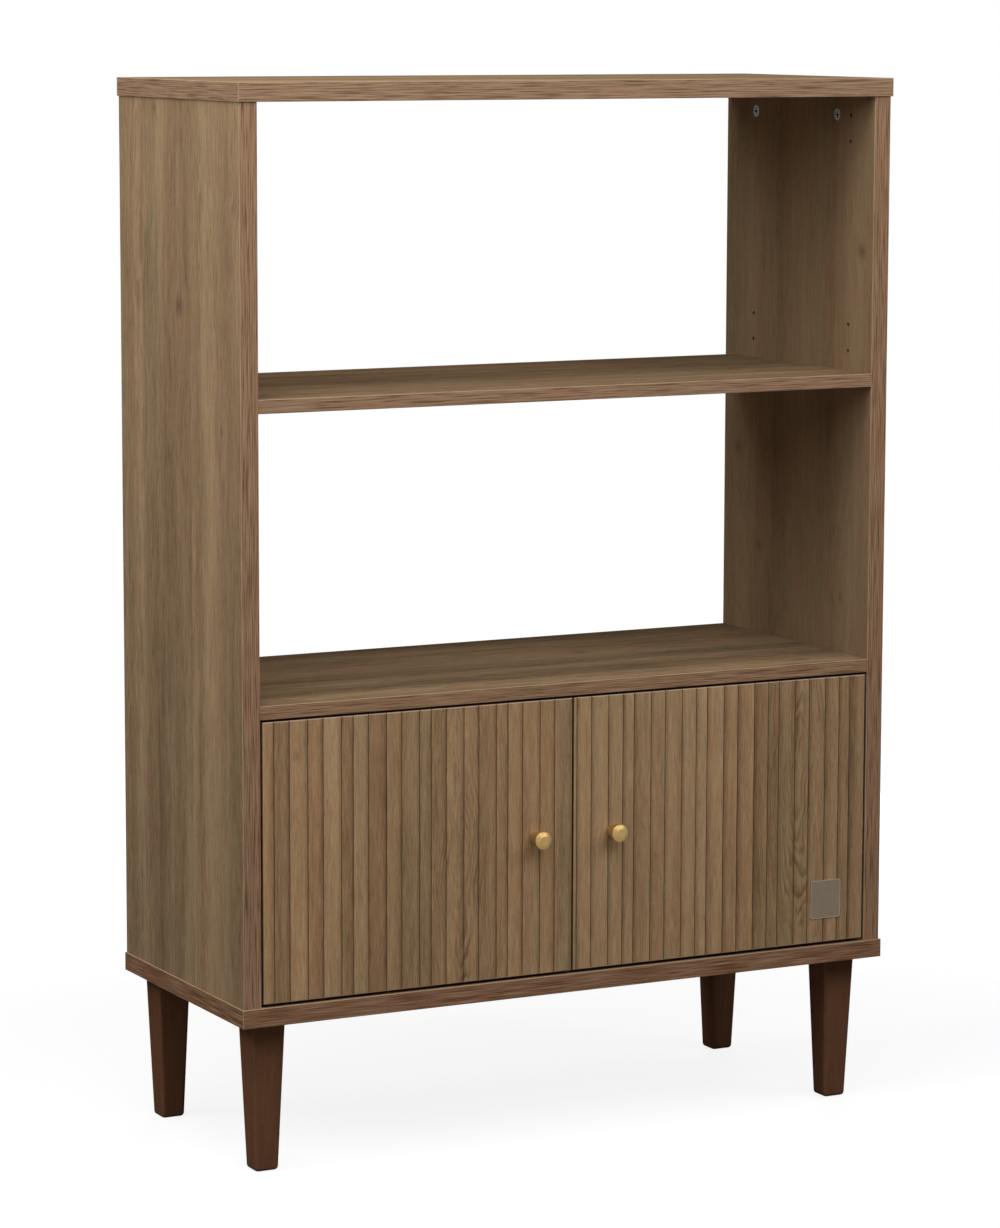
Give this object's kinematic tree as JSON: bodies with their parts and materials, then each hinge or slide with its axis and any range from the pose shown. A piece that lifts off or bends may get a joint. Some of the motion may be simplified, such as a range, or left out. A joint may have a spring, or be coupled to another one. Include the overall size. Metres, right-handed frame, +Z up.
{
  "type": "bookcase with hinged doors",
  "caption": "Free-standing bookcase with open shelf bays over a low cabinet closed by hinged fluted doors, raised on tapered square legs.",
  "frame": {"origin": "on the floor, at the centre of the whole footprint, knobs included", "axes": "+Z up, +X to the right as seen from the front, -Y to the front, where the doors are"},
  "size_m": [0.859, 0.374, 1.2545],
  "materials": {
    "board": "satin wood-look laminate",
    "edge_band": "satin edge band",
    "door_face": "satin wood-look foil",
    "leg": "satin walnut stain",
    "brass": "satin",
    "plate_metal": "fine brushed",
    "zinc": "die-cast",
    "steel": "nickel plated",
    "beech": "plain turned",
    "back_board": "matte printed",
    "nylon": "matte",
    "bumper": "soft"
  },
  "bodies": {
    "carcass": {"top_panel": "board", "top_panel_edge_bands": "edge_band", "bottom_panel": "board", "bottom_panel_edge_bands": "edge_band", "left_side_panel": "board", "left_side_edge_bands": "edge_band", "right_side_panel": "board", "right_side_edge_bands": "edge_band", "middle_shelf": "board", "middle_shelf_edge_bands": "edge_band", "cabinet_shelf": "board", "cabinet_shelf_edge_bands": "edge_band", "cabinet_back_panel": "back_board", "deck_cam_locks": "zinc", "deck_cam_bolts": "zinc", "shelf_cam_locks": "zinc", "shelf_cam_bolts": "zinc", "dowels": "beech", "left_hinge_arms": "steel", "left_hinge_plates": "steel", "right_hinge_arms": "steel", "right_hinge_plates": "steel", "hinge_plate_screws": "steel", "hinge_arm_screws": "steel", "door_stop": "nylon", "door_stop_screws": "steel", "front_left_leg": "leg", "front_right_leg": "leg", "back_left_leg": "leg", "back_right_leg": "leg", "leg_hanger_bolts": "steel", "leg_insert_nuts": "steel", "leg_glides": "nylon"},
    "left_door": {"left_door": "door_face", "left_knob": "brass", "left_knob_screw": "steel", "left_door_bumper": "bumper", "left_hinge_cups": "steel", "left_hinge_pins": "steel", "left_hinge_cup_screws": "steel"},
    "right_door": {"right_door": "door_face", "right_knob": "brass", "right_knob_screw": "steel", "right_door_bumper": "bumper", "right_hinge_cups": "steel", "right_hinge_pins": "steel", "right_hinge_cup_screws": "steel", "nameplate": "plate_metal"}
  },
  "joints": [
    {"name": "left_door_hinge", "type": "hinge", "parent": "carcass", "child": "left_door", "pos_m": [-0.393, -0.15351, 0.3685], "axis": [0, 0, -1], "range_deg": [0, 105]},
    {"name": "right_door_hinge", "type": "hinge", "parent": "carcass", "child": "right_door", "pos_m": [0.393, -0.15351, 0.3685], "axis": [0, 0, 1], "range_deg": [0, 105]}
  ]
}
